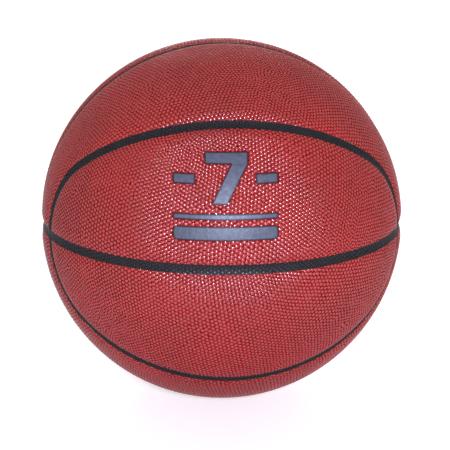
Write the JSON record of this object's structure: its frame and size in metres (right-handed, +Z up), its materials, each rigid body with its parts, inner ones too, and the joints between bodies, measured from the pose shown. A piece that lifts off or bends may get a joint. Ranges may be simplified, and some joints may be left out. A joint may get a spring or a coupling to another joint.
{
  "type": "basketball",
  "caption": "Inflatable game ball: pebbled leather cover panels over a thread-wound rubber carcass, with recessed black channels and a needle valve.",
  "frame": {"origin": "centre of the ball", "axes": "+Z up, with the equator channel in the XY plane and the meridian channel in the XZ plane; -Y is the front, at the middle of the oval that the picture shows"},
  "size_m": [0.2394, 0.2396, 0.2396],
  "materials": {
    "cover_leather": "brick red, pebble-embossed, satin",
    "channel_rubber": "black, finely pebbled, semi-matt",
    "carcass_rubber": "black, matt",
    "nylon_thread": "off-white thread set in latex",
    "bladder_rubber": "black butyl, matt",
    "valve_rubber": "black, smooth",
    "core_rubber": "dark grey, smooth",
    "mark_foil": "charcoal foil stamp, glossy"
  },
  "bodies": {
    "root": {"bladder": "bladder_rubber", "valve_patch": "bladder_rubber", "valve_housing": "valve_rubber", "valve_core": "core_rubber", "thread_winding": "nylon_thread", "carcass": "carcass_rubber", "equator_channel": "channel_rubber", "meridian_channel_upper": "channel_rubber", "meridian_channel_lower": "channel_rubber", "oval_channel_front_upper": "channel_rubber", "oval_channel_front_lower": "channel_rubber", "oval_channel_back_upper": "channel_rubber", "oval_channel_back_lower": "channel_rubber", "oval_panel_front_upper": "cover_leather", "oval_panel_front_lower": "cover_leather", "oval_panel_back_upper": "cover_leather", "oval_panel_back_lower": "cover_leather", "side_panel_front_upper": "cover_leather", "side_panel_front_lower": "cover_leather", "side_panel_back_upper": "cover_leather", "side_panel_back_lower": "cover_leather"}
  },
  "joints": []
}
